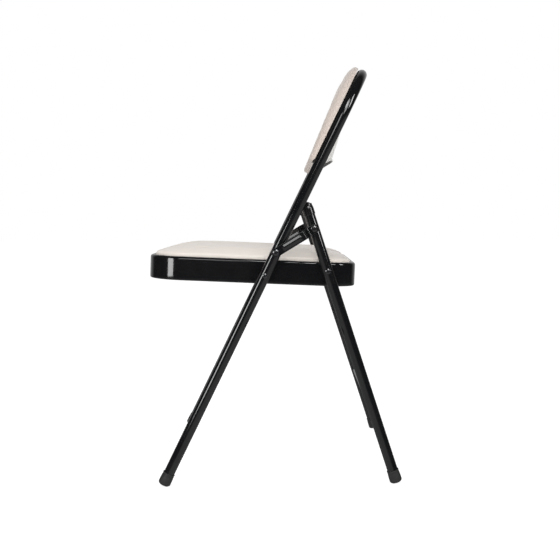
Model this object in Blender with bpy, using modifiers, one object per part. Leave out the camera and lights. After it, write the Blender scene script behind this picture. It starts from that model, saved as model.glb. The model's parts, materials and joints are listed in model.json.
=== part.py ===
"""Folding chair with a padded seat and a padded back.

Metres, +Z up.  The chair faces -Y and +X is the sitter's left.  The floor is Z = 0 and the origin is
under the middle of the open chair.  One inverted-U tube makes the front legs and the back frame.  The
seat pan turns on that tube, the rear legs turn on the pan, and two stamped links tie the rear legs
back to the tube.
"""
import math

import bmesh
import bpy
from mathutils import Matrix
from mathutils import Vector

# ---------------------------------------------------------------- driving dimensions
GAP = 0.0003                    # between pieces that touch

TUBE_R = 0.009525               # 3/4 inch steel tube
TUBE_WALL = 0.0012
TUBE_SIDES = 16

FRONT_X = 0.2206                # axis of each leg of the inverted U
FRONT_FOOT_Y = -0.1967          # where that axis meets the floor
FRONT_LEAN = math.atan(0.4847)  # from the vertical, leaning back
BEND_R = 0.100                  # top bends of the inverted U
FRAME_TOP = 0.8136              # axis of the top run, measured along the lean
BEND_STEPS = 9

REAR_X = 0.1989
REAR_FOOT_Y = 0.2208
REAR_LEAN = math.atan(0.3288)   # from the vertical, leaning forward
REAR_TOP = 0.0445               # rear leg tube above the link pivot

SEAT_PIVOT_Z = 0.3748           # pivot heights, each on the axis of its tube
LINK_PIVOT_Z = 0.4150
REAR_PIVOT_Z = 0.3810
LINK_END_Z = 0.4556

SEAT_TILT = math.radians(2.25)  # front edge higher
PAN_HALF_W = 0.1870
PAN_FRONT = -0.2143             # from the seat pivot, along the seat
PAN_BACK = 0.1626
PAN_TOP = 0.0251                # from the seat pivot, across the seat
PAN_BOTTOM = -0.0175
PAN_CORNER_FRONT = 0.0650
PAN_CORNER_BACK = 0.0500
PAN_SHEET = 0.0012
PAN_SHOULDER = 0.0050
DECK_DEPTH = 0.0040             # deck below the rim
RIM_INSET = 0.0065
DECK_INSET = 0.0080
CORNER_STEPS = 6

PAD_INSET = 0.0088
PAD_HEIGHT = 0.0180             # crown above the rim of the pan
BOARD_INSET = 0.0200
BOARD_THICK = 0.0080

BRACE_R = 0.00635
BRACE_WALL = 0.0010
FRONT_BRACE_ALONG = 0.165       # along the front leg, from the floor
REAR_BRACE_BELOW = 0.259        # along the rear leg, below its pivot on the seat

SHANK_R = 0.0030                # rivets
HOLE_R = 0.0033
TAIL_R = 0.0045
TAIL_THICK = 0.0015

LINK_R = 0.0080                 # half width and end radius of a link
LINK_SHEET = 0.0018
LINK_RIB = 0.0014

FOOT_R = 0.0111
FOOT_LENGTH = 0.0235
FOOT_ROUND = 0.0045
FOOT_FLAT = 0.0009              # depth of the level contact face
FOOT_FLOOR = 0.0040             # rubber under the end of the tube

CAP_R = 0.0106                  # plastic caps on the rear legs
CAP_LENGTH = 0.0240

BACK_HALF_W = 0.2285            # outline of the steel back panel
BACK_CORNER_X = FRONT_X - BEND_R
BACK_CORNER_S = FRAME_TOP - BEND_R
BACK_LOW_S = 0.6280             # lower corners
BACK_LOW_ROUND = 0.0140         # their rounding
BACK_ARCH_RISE = 0.0297         # middle of the lower edge above the corners
BACK_ARCH_HALF_W = 0.1850
BACK_SHEET = 0.0015
BACK_DIP = 0.0310               # how far the middle of the back sits behind its sides
BACK_DIP_LOW = 0.6110           # the dip is deepest here and gone at the top
BACK_DIP_TOP = 0.8060
COVER_SHEET = 0.0018
BACK_ROOM = 0.0012              # between curved sheets of the back, whose facets differ

# ---------------------------------------------------------------- derived places


def front_axis(z):
    """Point on the axis of the front legs at height z, in the YZ plane."""
    return Vector((0.0, FRONT_FOOT_Y + math.tan(FRONT_LEAN) * z, z))


def rear_axis(z):
    """Point on the axis of the rear legs at height z, in the YZ plane."""
    return Vector((0.0, REAR_FOOT_Y - math.tan(REAR_LEAN) * z, z))


SEAT_PIVOT = front_axis(SEAT_PIVOT_Z)
LINK_PIVOT = front_axis(LINK_PIVOT_Z)
REAR_PIVOT = rear_axis(REAR_PIVOT_Z)
LINK_END = rear_axis(LINK_END_Z)

SEAT_PIVOT_S = SEAT_PIVOT_Z / math.cos(FRONT_LEAN)
LINK_PIVOT_S = LINK_PIVOT_Z / math.cos(FRONT_LEAN)
LINK_END_S = (LINK_END_Z - REAR_PIVOT_Z) / math.cos(REAR_LEAN)
REAR_FLOOR_S = -REAR_PIVOT_Z / math.cos(REAR_LEAN)
LINK_LENGTH = (LINK_END - LINK_PIVOT).length
LINK_LEAN = math.atan2(LINK_END.y - LINK_PIVOT.y, LINK_END.z - LINK_PIVOT.z)
REAR_PIVOT_ON_SEAT = Matrix.Rotation(SEAT_TILT, 3, "X") @ (REAR_PIVOT - SEAT_PIVOT)

TUBE_OUTER_X = FRONT_X + TUBE_R
TUBE_INNER_X = FRONT_X - TUBE_R
LEG_OUTER_X = REAR_X + TUBE_R
LEG_INNER_X = REAR_X - TUBE_R
LINK_ON_TUBE_X = TUBE_OUTER_X + GAP
LINK_ON_LEG_X = LEG_OUTER_X + GAP
BRACKET_OUTER_X = PAN_HALF_W - PAN_SHEET - 3.0 * GAP
BRACKET_SHEET = 0.0020
TAIL_INSIDE_X = BRACKET_OUTER_X - BRACKET_SHEET - GAP

SIDES = (("left", 1.0), ("right", -1.0))

# ---------------------------------------------------------------- scene and object helpers


def clear_scene():
    for obj in list(bpy.data.objects):
        bpy.data.objects.remove(obj, do_unlink=True)


def new_collection(name):
    collection = bpy.data.collections.new(name)
    bpy.context.scene.collection.children.link(collection)
    return collection


def new_material(name, color, roughness, metallic=0.0):
    material = bpy.data.materials.new(name)
    material.use_nodes = True
    shader = material.node_tree.nodes["Principled BSDF"]
    shader.inputs["Base Color"].default_value = (*color, 1.0)
    shader.inputs["Roughness"].default_value = roughness
    shader.inputs["Metallic"].default_value = metallic
    return material


clear_scene()
PARTS = new_collection("folding_chair")
CUTTERS = new_collection("cutters")
BLACK_PAINT = new_material("black_paint", (0.010, 0.010, 0.011), 0.20)
BLACK_PLASTIC = new_material("black_plastic", (0.012, 0.012, 0.013), 0.30)
BLACK_RUBBER = new_material("black_rubber", (0.012, 0.012, 0.012), 0.65)
DARK_STEEL = new_material("dark_steel", (0.030, 0.030, 0.032), 0.30, 0.8)
BEIGE_FABRIC = new_material("beige_fabric", (0.60, 0.52, 0.47), 0.80)
PALE_FABRIC = new_material("pale_fabric", (0.66, 0.64, 0.60), 0.85)
PLYWOOD = new_material("plywood", (0.45, 0.30, 0.17), 0.70)


def new_empty(name, location, lean):
    """An empty on a joint axis, turned about X so that its own Z runs along the part."""
    empty = bpy.data.objects.new(name, None)
    empty.location = location
    empty.rotation_euler = (lean, 0.0, 0.0)
    PARTS.objects.link(empty)
    return empty


FRONT_AXES = new_empty("front_frame_axes", (0.0, FRONT_FOOT_Y, 0.0), -FRONT_LEAN)
SEAT_AXES = new_empty("seat_axes", SEAT_PIVOT, -SEAT_TILT)
REAR_AXES = new_empty("rear_leg_axes", REAR_PIVOT, REAR_LEAN)
LINK_AXES = {
    "left": new_empty("link_axes_left", LINK_PIVOT, -LINK_LEAN),
    "right": new_empty("link_axes_right", LINK_PIVOT, -LINK_LEAN),
}


def add_mesh_object(name, bm, material, parent, smooth_angle=math.radians(35.0)):
    """Turn a bmesh into a named part under its parent empty."""
    bmesh.ops.recalc_face_normals(bm, faces=bm.faces[:])
    mesh = bpy.data.meshes.new(name)
    bm.to_mesh(mesh)
    bm.free()
    mesh.shade_smooth()
    mesh.set_sharp_from_angle(angle=smooth_angle)
    obj = bpy.data.objects.new(name, mesh)
    obj.data.materials.append(material)
    obj.parent = parent
    PARTS.objects.link(obj)
    return obj


def as_cutter(obj):
    """Move a helper solid to the cutters' collection."""
    PARTS.objects.unlink(obj)
    CUTTERS.objects.link(obj)
    obj.hide_render = True
    obj.display_type = "WIRE"
    return obj


def boolean(target, cutter, operation="DIFFERENCE"):
    modifier = target.modifiers.new(cutter.name, "BOOLEAN")
    modifier.operation = operation
    modifier.object = cutter
    return modifier


def solidify(obj, thickness, offset=-1.0):
    modifier = obj.modifiers.new("sheet", "SOLIDIFY")
    modifier.thickness = thickness
    modifier.offset = offset
    modifier.use_even_offset = True
    return modifier


def cylinder(name, radius, start, end, parent, material=DARK_STEEL, sides=16, capped=True):
    """A straight round bar or sleeve surface from start to end, in the parent's axes."""
    start = Vector(start)
    end = Vector(end)
    axis = end - start
    turn = Vector((0.0, 0.0, 1.0)).rotation_difference(axis).to_matrix().to_4x4()
    bm = bmesh.new()
    bmesh.ops.create_cone(bm, cap_ends=capped, segments=sides, radius1=radius, radius2=radius,
                          depth=axis.length, matrix=Matrix.Translation((start + end) / 2) @ turn)
    return add_mesh_object(name, bm, material, parent)


def hole_cutter(name, radius, start, end, parent, sides=12):
    return as_cutter(cylinder(name, radius, start, end, parent, sides=sides))


def turned(name, profile, material, parent, matrix, sides=16):
    """A solid turned about its own Z from a half outline (radius, height) that starts at the axis."""
    bm = bmesh.new()
    verts = [bm.verts.new((radius, 0.0, height)) for radius, height in profile]
    for start, end in zip(verts, verts[1:]):
        bm.edges.new((start, end))
    mesh = bpy.data.meshes.new(name)
    bm.to_mesh(mesh)
    bm.free()
    obj = bpy.data.objects.new(name, mesh)
    obj.data.materials.append(material)
    obj.parent = parent
    obj.matrix_local = matrix
    PARTS.objects.link(obj)
    screw = obj.modifiers.new("turn", "SCREW")
    screw.axis = "Z"
    screw.steps = sides
    screw.render_steps = sides
    screw.use_merge_vertices = True
    screw.merge_threshold = 0.00001
    screw.use_smooth_shade = True
    return obj


def arc(center, radius, start, end, steps):
    """Points (radius, height) along a circular arc, angles in degrees."""
    points = []
    for step in range(steps + 1):
        angle = math.radians(start + (end - start) * step / steps)
        points.append((center[0] + radius * math.cos(angle), center[1] + radius * math.sin(angle)))
    return points


def outward(side, y, z):
    """Matrix that turns a part's Z to point out of the chair on one side, at (y, z)."""
    return Matrix.Translation((0.0, y, z)) @ Matrix.Rotation(side * math.pi / 2, 4, "Y")


def plan_outline(half_w, y_front, y_back, corner_inset):
    """Outline of the seat in plan, anticlockwise, with its corners drawn in by corner_inset."""
    front = PAN_CORNER_FRONT - corner_inset
    back = PAN_CORNER_BACK - corner_inset
    corners = ((half_w - front, y_front + front, front, -90.0), (half_w - back, y_back - back, back, 0.0),
               (back - half_w, y_back - back, back, 90.0), (front - half_w, y_front + front, front, 180.0))
    points = []
    for center_x, center_y, radius, start in corners:
        points += arc((center_x, center_y), radius, start, start + 90.0, CORNER_STEPS)
    return points


def seat_outline(inset):
    return plan_outline(PAN_HALF_W - inset, PAN_FRONT + inset, PAN_BACK - inset, inset)


def stack_rings(rings, close_first, close_last):
    """Sheet through outlines [(points, z), ...], extruded ring by ring."""
    bm = bmesh.new()
    points, z = rings[0]
    verts = [bm.verts.new((x, y, z)) for x, y in points]
    edges = [bm.edges.new((verts[i - 1], verts[i])) for i in range(len(verts))]
    if close_first:
        bmesh.ops.contextual_create(bm, geom=edges)
    for points, z in rings[1:]:
        grown = bmesh.ops.extrude_edge_only(bm, edges=edges)["geom"]
        new_verts = [item for item in grown if isinstance(item, bmesh.types.BMVert)]
        edges = [item for item in grown if isinstance(item, bmesh.types.BMEdge)]
        for vert, (x, y) in zip(new_verts, points):
            vert.co = (x, y, z)
    if close_last:
        bmesh.ops.contextual_create(bm, geom=edges)
    return bm


# ---------------------------------------------------------------- rivets, screws and washers


def rivet(name, head_radius, head_height, head_x, tail_x, y, z, side, parent):
    """Domed head outside at head_x, shank, and upset tail inside at tail_x."""
    profile = [(0.0, tail_x - TAIL_THICK), (TAIL_R, tail_x - TAIL_THICK), (TAIL_R, tail_x),
               (SHANK_R, tail_x), (SHANK_R, head_x)]
    profile += [(head_radius, head_x), (head_radius, head_x + 0.3 * head_height)]
    profile += [(0.72 * head_radius, head_x + 0.8 * head_height), (0.0, head_x + head_height)]
    profile.reverse()
    return turned(name, profile, DARK_STEEL, parent, outward(side, y, z), sides=12)


def screw(name, head_radius, length, matrix, parent):
    """Round-head screw: underside of the head at 0, shank along +Z, head below."""
    shank = 0.45 * head_radius
    profile = [(0.0, length), (0.5 * shank, length), (shank, length - shank), (shank, 0.0),
               (head_radius, 0.0), (head_radius, -0.0006), (0.75 * head_radius, -0.0016), (0.0, -0.0020)]
    return turned(name, profile, DARK_STEEL, parent, matrix, sides=12)


# ---------------------------------------------------------------- front frame


def make_front_tube():
    """Inverted U, hollow, open at its feet, with the rivet holes drilled across."""
    foot_end = front_foot_lift() + FOOT_FLOOR + GAP
    path = [(FRONT_X, foot_end)]
    path += arc((FRONT_X - BEND_R, FRAME_TOP - BEND_R), BEND_R, 0.0, 90.0, BEND_STEPS)
    path += [(-x, s) for x, s in reversed(path)]
    curve = bpy.data.curves.new("front_frame_path", "CURVE")
    curve.dimensions = "3D"
    curve.bevel_depth = TUBE_R
    curve.bevel_resolution = TUBE_SIDES // 2 - 2
    spline = curve.splines.new("POLY")
    spline.points.add(len(path) - 1)
    for point, (x, s) in zip(spline.points, path):
        point.co = (x, 0.0, s, 1.0)
    guide = bpy.data.objects.new("front_frame_path", curve)
    PARTS.objects.link(guide)
    bpy.context.view_layer.update()
    evaluated = guide.evaluated_get(bpy.context.evaluated_depsgraph_get())
    mesh = bpy.data.meshes.new_from_object(evaluated)
    bm = bmesh.new()
    bm.from_mesh(mesh)
    bpy.data.objects.remove(guide, do_unlink=True)
    bpy.data.meshes.remove(mesh)
    bmesh.ops.remove_doubles(bm, verts=bm.verts[:], dist=0.00001)
    tube = add_mesh_object("front_frame_tube", bm, BLACK_PAINT, FRONT_AXES)
    solidify(tube, TUBE_WALL)
    boolean(tube, across_cutter("tube_hole_seat", FRONT_X, SEAT_PIVOT_S, FRONT_AXES))
    boolean(tube, across_cutter("tube_hole_link", FRONT_X, LINK_PIVOT_S, FRONT_AXES))
    return tube


def across_cutter(name, x, s, parent):
    """One drill pass through both side tubes."""
    reach = x + 2.0 * TUBE_R
    return hole_cutter(name, HOLE_R, (-reach, 0.0, s), (reach, 0.0, s), parent)


def leg_cutters(x, low, high, parent, tag):
    """Solids that leave a coped end with a small gap to a leg tube."""
    cutters = []
    for side_name, side in SIDES:
        name = tag + "_cope_" + side_name
        cutters.append(hole_cutter(name, TUBE_R + GAP, (side * x, 0.0, low), (side * x, 0.0, high),
                                   parent, sides=32))
    return cutters


def make_brace(name, x, s, parent, tag):
    """Tube across between two legs, with coped ends."""
    brace = cylinder(name, BRACE_R, (-x, 0.0, s), (x, 0.0, s), parent, BLACK_PAINT, capped=False)
    solidify(brace, BRACE_WALL)
    for cutter in leg_cutters(x, s - 0.03, s + 0.03, parent, tag):
        boolean(brace, cutter)
    return brace


def make_seat_spacers():
    """Sleeves on the seat rivets between the tube and the pan."""
    cutters = leg_cutters(FRONT_X, SEAT_PIVOT_S - 0.03, SEAT_PIVOT_S + 0.03, FRONT_AXES, "spacer")
    for (side_name, side), cutter in zip(SIDES, cutters):
        start = (side * (PAN_HALF_W + GAP), 0.0, SEAT_PIVOT_S)
        end = (side * FRONT_X, 0.0, SEAT_PIVOT_S)
        spacer = cylinder("seat_pivot_spacer_" + side_name, 0.0060, start, end, FRONT_AXES,
                          BLACK_PAINT, capped=False)
        solidify(spacer, 0.0060 - HOLE_R)
        boolean(spacer, cutter)


def make_frame_rivets():
    for side_name, side in SIDES:
        rivet("seat_pivot_rivet_" + side_name, 0.0045, 0.0024, TUBE_OUTER_X + GAP, TAIL_INSIDE_X,
              0.0, SEAT_PIVOT_S, side, FRONT_AXES)
        rivet("link_pivot_rivet_" + side_name, 0.0058, 0.0026, LINK_ON_TUBE_X + LINK_SHEET + GAP,
              TUBE_INNER_X - GAP, 0.0, LINK_PIVOT_S, side, FRONT_AXES)


# ---------------------------------------------------------------- rubber feet and plastic caps


def foot_lift(lean):
    """Height along the leg of the end of its foot, so that the round edge reaches the floor."""
    low = FOOT_ROUND * math.cos(lean) - (FOOT_R - FOOT_ROUND) * math.sin(lean) - FOOT_ROUND
    return (-low - FOOT_FLAT) / math.cos(lean)


def front_foot_lift():
    return foot_lift(FRONT_LEAN)


def make_foot(name, x, floor_s, lean, parent):
    """Rubber cup over the end of a leg, round at its edge and cut level where it stands."""
    bore = TUBE_R + GAP
    profile = [(0.0, FOOT_FLOOR), (bore, FOOT_FLOOR), (bore, FOOT_LENGTH),
               (FOOT_R - 0.0008, FOOT_LENGTH), (FOOT_R - 0.0002, FOOT_LENGTH - 0.0008)]
    profile += arc((FOOT_R - FOOT_ROUND, FOOT_ROUND), FOOT_ROUND, 0.0, -90.0, 4)
    profile += [(0.0, 0.0)]
    base = Matrix.Translation((x, 0.0, floor_s + foot_lift(lean)))
    foot = turned(name, profile, BLACK_RUBBER, parent, base)
    boolean(foot, FLOOR_CUTTER)
    return foot


def make_floor_cutter():
    """Slab under the floor that gives each foot its level contact face."""
    bm = bmesh.new()
    bmesh.ops.create_cube(bm, size=1.0)
    bmesh.ops.scale(bm, vec=(0.8, 0.8, 0.1), verts=bm.verts[:])
    bmesh.ops.translate(bm, vec=(0.0, 0.0, -0.05), verts=bm.verts[:])
    return as_cutter(add_mesh_object("floor_cutter", bm, DARK_STEEL, None))


def make_leg_cap(name, x, leg_end, parent):
    """Domed plastic cup over the upper end of a rear leg."""
    bore = TUBE_R + GAP
    low = leg_end - CAP_LENGTH + 0.0045
    top = low + CAP_LENGTH
    profile = [(0.0, top)]
    profile += [(CAP_R * math.sin(angle), top - 0.0090 * (1.0 - math.cos(angle)))
                for angle in (math.radians(18.0 * step) for step in range(1, 6))]
    profile += [(CAP_R, low), (bore, low), (bore, leg_end + GAP), (0.0, leg_end + GAP)]
    return turned(name, profile, BLACK_PLASTIC, parent, Matrix.Translation((x, 0.0, 0.0)))


# ---------------------------------------------------------------- backrest


def back_bottom(x):
    """Lower edge of the backrest, arched to clear the folded seat."""
    across = min(abs(x) / BACK_ARCH_HALF_W, 1.0)
    beyond = min(max(abs(x) - BACK_HALF_W + BACK_LOW_ROUND, 0.0), 0.97 * BACK_LOW_ROUND)
    corner = BACK_LOW_ROUND - math.sqrt(BACK_LOW_ROUND ** 2 - beyond ** 2)
    return BACK_LOW_S + BACK_ARCH_RISE * (1.0 - across ** 2.6) + corner


def back_top(x, half_w):
    """Upper edge, concentric with the bends of the tube."""
    radius = half_w - BACK_CORNER_X
    beyond = max(abs(x) - BACK_CORNER_X, 0.0)
    return BACK_CORNER_S + math.sqrt(max(radius ** 2 - beyond ** 2, 0.0))


def back_surface(x, s):
    """How far the rear face of the steel panel lies in front of the plane of the tubes."""
    along = (s - BACK_DIP_LOW) / (BACK_DIP_TOP - BACK_DIP_LOW)
    dip = BACK_DIP * (1.0 - min(max(along, 0.0), 1.0) ** 1.6)
    clear_r = BEND_R - TUBE_R - 0.002
    up = max(s - BACK_CORNER_S, 0.0)
    half_w = BACK_CORNER_X + math.sqrt(max(clear_r ** 2 - up ** 2, 0.0))
    across = min(abs(x) / half_w, 1.0)
    return TUBE_R + GAP - dip * (1.0 - across ** 2)


def back_grid(half_w, trim, columns, rows, forward, crowding=1.0):
    """Sheet over the backrest's outline; forward(x, s) gives its place in front of the tubes.

    A crowding above 1 draws the rows together towards the lower edge.
    """
    bm = bmesh.new()
    bmesh.ops.create_grid(bm, x_segments=columns, y_segments=rows, size=1.0)
    for vert in bm.verts:
        x = half_w * math.sin(vert.co.x * math.pi / 2)
        low = back_bottom(x) + trim
        high = back_top(x, half_w) - trim
        s = low + (high - low) * ((vert.co.y + 1.0) / 2) ** crowding
        vert.co = (x, -forward(x, s), s)
    return bm


def make_back_panel():
    """Black steel sheet welded to the front of the tube."""
    bm = back_grid(BACK_HALF_W, 0.0, 24, 9, back_surface)
    panel = add_mesh_object("back_panel", bm, BLACK_PAINT, FRONT_AXES)
    face_forward(panel)
    solidify(panel, BACK_SHEET, offset=1.0)
    return panel


def face_forward(obj):
    """Make an open sheet's faces point to the front of the chair."""
    mesh = obj.data
    if mesh.polygons[0].normal.y > 0.0:
        mesh.flip_normals()


def cover_surface(x, s):
    """Front face of the rear cover, with a lip turned back along its lower edge."""
    above_edge = s - back_bottom(x)
    lip = max(1.0 - above_edge / 0.0080, 0.0) ** 2 * 0.0048
    return back_surface(x, s) - BACK_ROOM - lip


def make_back_cover():
    """Pale cover that closes the back between the tubes."""
    half_w = TUBE_INNER_X - 0.0015
    bm = back_grid(half_w, 0.0003, 20, 9, cover_surface, crowding=1.8)
    cover = add_mesh_object("back_cover", bm, PALE_FABRIC, FRONT_AXES)
    face_forward(cover)
    solidify(cover, COVER_SHEET, offset=-1.0)
    return cover


def pad_front(x, s):
    """Front face of the back pad: thin at the lower sides, fuller above and in the middle."""
    along = (s - BACK_DIP_LOW) / (0.76 - BACK_DIP_LOW)
    side_thick = 0.0050 + 0.0083 * min(max(along, 0.0), 1.0)
    middle_thick = side_thick + 0.0040 * (1.0 - min(abs(x) / 0.20, 1.0) ** 2)
    to_side = BACK_HALF_W - abs(x)
    to_top = back_top(x, BACK_HALF_W) - s
    to_bottom = s - back_bottom(x)
    edge = edge_round(to_side, 0.016) * edge_round(to_top, 0.056) * edge_round(to_bottom, 0.007)
    return back_surface(x, s) + BACK_SHEET + BACK_ROOM + 0.0020 + middle_thick * edge


def edge_round(distance, reach):
    """0 at an edge, 1 once distance exceeds reach, along a quarter ellipse."""
    inside = min(max(distance / reach, 0.0), 1.0)
    return math.sqrt(1.0 - (1.0 - inside) ** 2)


def make_back_pad():
    """Foam and cover in front of the panel, as one plain solid."""
    bm = back_grid(BACK_HALF_W - 0.0004, 0.0004, 20, 9,
                   lambda x, s: back_surface(x, s) + BACK_SHEET + BACK_ROOM)
    grown = bmesh.ops.extrude_face_region(bm, geom=bm.faces[:])["geom"]
    for item in grown:
        if isinstance(item, bmesh.types.BMVert):
            item.co.y = -pad_front(item.co.x, item.co.z)
    return add_mesh_object("back_pad", bm, BEIGE_FABRIC, FRONT_AXES)


def make_back_screws(panel, cover):
    """Four screws that hold the rear cover to the panel."""
    places = ((0.150, 0.665), (-0.150, 0.665), (0.130, 0.765), (-0.130, 0.765))
    for number, (x, s) in enumerate(places, start=1):
        step = 0.002
        slope_x = (back_surface(x + step, s) - back_surface(x - step, s)) / (2 * step)
        slope_s = (back_surface(x, s + step) - back_surface(x, s - step)) / (2 * step)
        normal = Vector((-slope_x, -1.0, -slope_s)).normalized()
        turn = Vector((0.0, 0.0, 1.0)).rotation_difference(normal).to_matrix().to_4x4()
        surface = Vector((x, -back_surface(x, s), s))
        behind = BACK_ROOM + COVER_SHEET + 2.0 * GAP
        matrix = Matrix.Translation(surface - normal * behind) @ turn
        screw("back_screw_%d" % number, 0.0035, behind + BACK_SHEET - GAP, matrix, FRONT_AXES)
        hole = hole_cutter("back_screw_hole_%d" % number, 0.0019, surface - normal * 0.006,
                           surface + normal * (BACK_SHEET + GAP), FRONT_AXES, sides=12)
        boolean(panel, hole)
        boolean(cover, hole)


# ---------------------------------------------------------------- seat


def make_seat_pan():
    """Stamped pan: turned-in lower edge, skirt, rounded shoulder, rim and sunken deck."""
    rings = [(seat_outline(0.0075), PAN_BOTTOM), (seat_outline(0.0015), PAN_BOTTOM),
             (seat_outline(0.0), PAN_BOTTOM + 0.0015)]
    for radius, height in arc((0.0, 0.0), PAN_SHOULDER, 0.0, 90.0, 3):
        rings.append((seat_outline(PAN_SHOULDER - radius), PAN_TOP - PAN_SHOULDER + height))
    rings.append((seat_outline(RIM_INSET), PAN_TOP))
    rings.append((seat_outline(DECK_INSET), PAN_TOP - DECK_DEPTH))
    pan = add_mesh_object("seat_pan", stack_rings(rings, False, True), BLACK_PAINT, SEAT_AXES)
    if pan.data.polygons[-1].normal.z < 0.0:
        pan.data.flip_normals()
    solidify(pan, PAN_SHEET)
    for hole in seat_pivot_holes():
        boolean(pan, hole)
    return pan


def seat_pivot_holes():
    """Drill passes across the seat at its two pivots."""
    reach = PAN_HALF_W + 0.01
    rear = REAR_PIVOT_ON_SEAT
    front_hole = hole_cutter("seat_hole_front", HOLE_R, (-reach, 0.0, 0.0), (reach, 0.0, 0.0), SEAT_AXES)
    rear_hole = hole_cutter("seat_hole_rear", HOLE_R, (-reach, rear.y, rear.z), (reach, rear.y, rear.z),
                            SEAT_AXES)
    return front_hole, rear_hole


def make_seat_brackets():
    """Reinforcing strips inside the skirt, one each side, that carry both rivets."""
    rear = REAR_PIVOT_ON_SEAT
    for side_name, side in SIDES:
        bm = bmesh.new()
        bmesh.ops.create_cube(bm, size=1.0)
        bmesh.ops.scale(bm, vec=(BRACKET_SHEET, rear.y + 0.018, 0.024), verts=bm.verts[:])
        middle = (side * (BRACKET_OUTER_X - BRACKET_SHEET / 2), rear.y / 2, rear.z / 2)
        bmesh.ops.translate(bm, vec=middle, verts=bm.verts[:])
        bracket = add_mesh_object("seat_bracket_" + side_name, bm, DARK_STEEL, SEAT_AXES)
        for y, z in ((0.0, 0.0), (rear.y, rear.z)):
            start = (side * 0.15, y, z)
            end = (side * 0.20, y, z)
            boolean(bracket, hole_cutter("%s_hole_%.2f" % (bracket.name, y), HOLE_R, start, end, SEAT_AXES))


def make_seat_stiffener():
    """Hat channel across the pan under its deck."""
    top = PAN_TOP - DECK_DEPTH - PAN_SHEET - GAP
    half = [(0.024, top), (0.024, top - 0.0012), (0.0132, top - 0.0012), (0.0112, top - 0.0132),
            (0.0, top - 0.0132)]
    inner = [(0.0, top - 0.0120), (0.0102, top - 0.0120), (0.0122, top)]
    right = half + inner
    outline = right[:-3] + [(-y, z) for y, z in reversed(half[:-1])]
    outline += [(-y, z) for y, z in reversed(inner[1:])] + inner[1:]
    bm = bmesh.new()
    verts = [bm.verts.new((-0.178, y + 0.035, z)) for y, z in outline]
    face = bm.faces.new(verts)
    grown = bmesh.ops.extrude_face_region(bm, geom=[face])["geom"]
    bmesh.ops.translate(bm, vec=(0.356, 0.0, 0.0),
                        verts=[item for item in grown if isinstance(item, bmesh.types.BMVert)])
    return add_mesh_object("seat_stiffener", bm, DARK_STEEL, SEAT_AXES)


def seat_screw_places():
    return [(x, y) for y in (-0.135, 0.095) for x in (0.120, -0.120)]


def make_seat_board():
    bottom = PAN_TOP - DECK_DEPTH + GAP
    rings = [(seat_outline(BOARD_INSET), bottom), (seat_outline(BOARD_INSET), bottom + BOARD_THICK)]
    return add_mesh_object("seat_board", stack_rings(rings, True, True), PLYWOOD, SEAT_AXES)


def pad_ring(step, height):
    """Outline of the pad a given share of the way in from its edge; the front rolls over longest."""
    front = PAN_FRONT + PAD_INSET + 0.060 * step
    back = PAN_BACK - PAD_INSET - 0.048 * step ** 0.75
    half_w = PAN_HALF_W - PAD_INSET - 0.055 * step
    return plan_outline(half_w, front, back, PAD_INSET), PAN_TOP + height


def make_seat_pad():
    """Foam and cover over the board, as one plain crowned solid."""
    rings = [pad_ring(0.0, -DECK_DEPTH + GAP), pad_ring(0.0, 0.0030), pad_ring(0.05, 0.0066)]
    rings += [pad_ring(0.18, 0.0102), pad_ring(0.42, 0.0145), pad_ring(0.70, 0.0172),
              pad_ring(1.0, PAD_HEIGHT)]
    pad = add_mesh_object("seat_pad", stack_rings(rings, True, True), BEIGE_FABRIC, SEAT_AXES)
    room = [(seat_outline(BOARD_INSET - GAP), PAN_TOP - 2.0 * DECK_DEPTH),
            (seat_outline(BOARD_INSET - GAP), PAN_TOP - DECK_DEPTH + 2.0 * GAP + BOARD_THICK)]
    recess = add_mesh_object("board_recess", stack_rings(room, True, True), DARK_STEEL, SEAT_AXES)
    boolean(pad, as_cutter(recess))
    return pad


def make_seat_screws(pan, board):
    under_deck = PAN_TOP - DECK_DEPTH - PAN_SHEET
    for number, (x, y) in enumerate(seat_screw_places(), start=1):
        matrix = Matrix.Translation((x, y, under_deck - GAP))
        screw("seat_screw_%d" % number, 0.0045, 0.0075, matrix, SEAT_AXES)
        hole = hole_cutter("seat_screw_hole_%d" % number, 0.0024, (x, y, under_deck - 0.004),
                           (x, y, under_deck + 0.014), SEAT_AXES)
        boolean(pan, hole)
        boolean(board, hole)


# ---------------------------------------------------------------- rear legs


def make_rear_legs():
    low = REAR_FLOOR_S + foot_lift(REAR_LEAN) + FOOT_FLOOR + GAP
    high = LINK_END_S + REAR_TOP
    holes = [across_cutter("leg_hole_seat", REAR_X, 0.0, REAR_AXES),
             across_cutter("leg_hole_link", REAR_X, LINK_END_S, REAR_AXES)]
    for side_name, side in SIDES:
        x = side * REAR_X
        leg = cylinder("rear_leg_" + side_name, TUBE_R, (x, 0.0, low), (x, 0.0, high), REAR_AXES,
                       BLACK_PAINT, sides=TUBE_SIDES, capped=False)
        solidify(leg, TUBE_WALL)
        for hole in holes:
            boolean(leg, hole)
        make_leg_cap("rear_leg_cap_" + side_name, x, high, REAR_AXES)
        make_foot("rear_foot_" + side_name, x, REAR_FLOOR_S, REAR_LEAN, REAR_AXES)


def make_rear_leg_rivets():
    for side_name, side in SIDES:
        rivet("rear_leg_rivet_" + side_name, 0.0050, 0.0025, LEG_OUTER_X + GAP, TAIL_INSIDE_X,
              0.0, 0.0, side, REAR_AXES)
        washer = [(HOLE_R, LEG_INNER_X - GAP), (0.0070, LEG_INNER_X - GAP),
                  (0.0070, PAN_HALF_W + GAP), (HOLE_R, PAN_HALF_W + GAP), (HOLE_R, LEG_INNER_X - GAP)]
        turned("rear_leg_washer_" + side_name, washer, DARK_STEEL, REAR_AXES, outward(side, 0.0, 0.0))


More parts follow.
